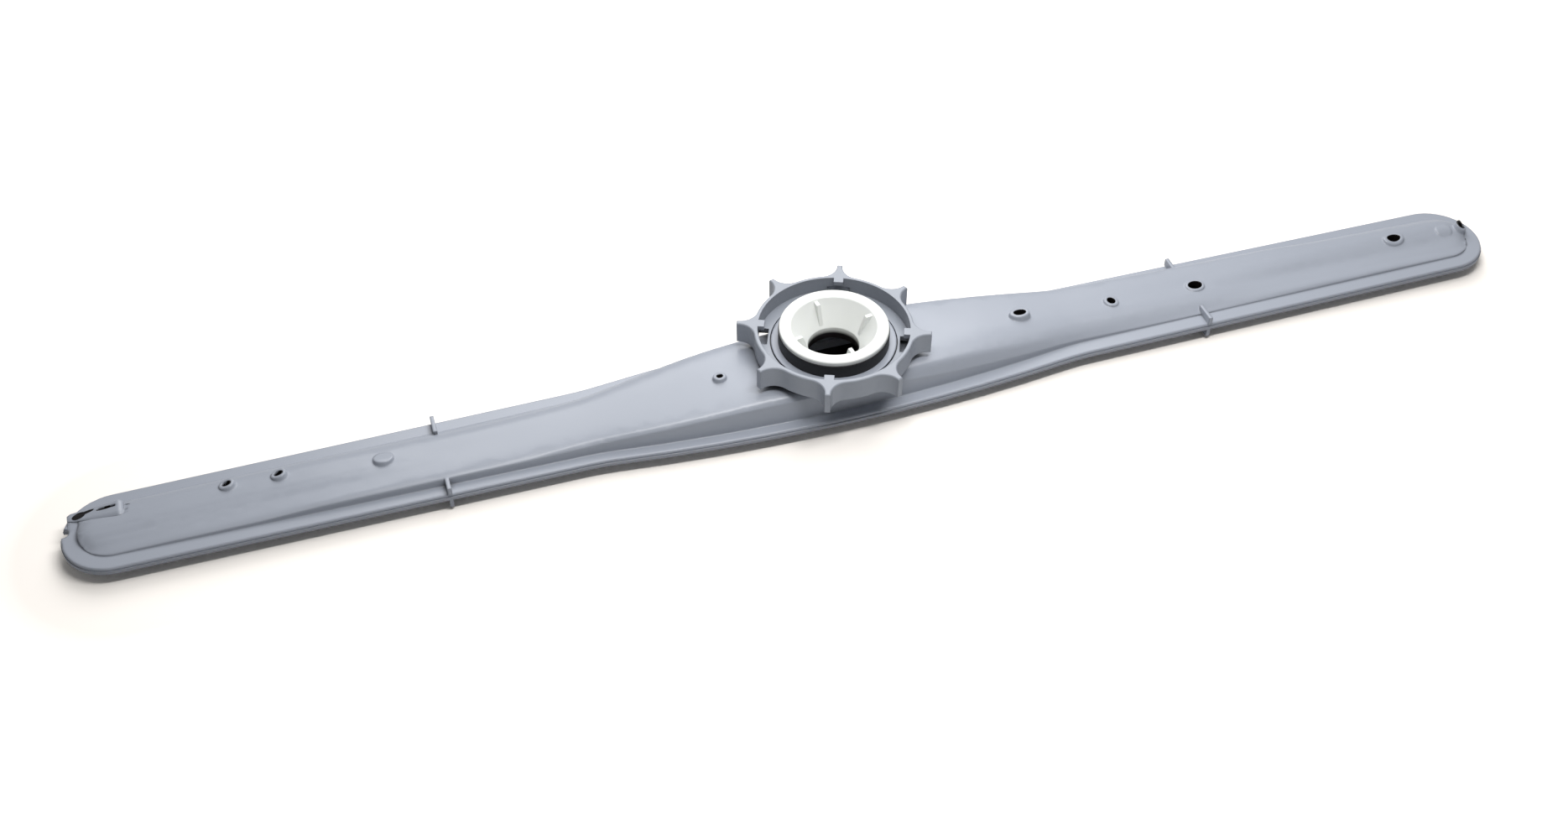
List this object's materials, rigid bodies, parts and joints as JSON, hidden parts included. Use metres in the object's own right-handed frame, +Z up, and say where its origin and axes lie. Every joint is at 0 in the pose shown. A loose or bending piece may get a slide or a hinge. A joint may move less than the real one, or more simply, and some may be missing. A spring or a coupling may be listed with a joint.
{
  "type": "dishwasher spray arm",
  "caption": "Long hollow plastic spray arm with a domed top, spray nozzles, a lugged bayonet nut and a white funnel bush at its hub.",
  "frame": {"origin": "middle of the flat underside on which the arm lies, below the hub axis", "axes": "+Z up along the hub axis, towards the inlet; +X along the arm, towards the end without the fan jet"},
  "size_m": [0.4606, 0.0556, 0.0256],
  "materials": {
    "grey_plastic": "satin moulded polypropylene",
    "grey_plastic_lower": "satin moulded polypropylene",
    "nut_plastic": "satin moulded polypropylene",
    "white_plastic": "smooth acetal",
    "black_rubber": "matt rubber"
  },
  "bodies": {
    "arm": {"upper_shell": "grey_plastic", "lower_shell": "grey_plastic_lower", "bush": "white_plastic", "seal_ring": "black_rubber"},
    "nut": {"ring_nut": "nut_plastic"}
  },
  "joints": [
    {"name": "nut_turn", "type": "hinge", "parent": "arm", "child": "nut", "pos_m": [0, 0, 0.0212], "axis": [0, 0, 1], "continuous": true}
  ]
}
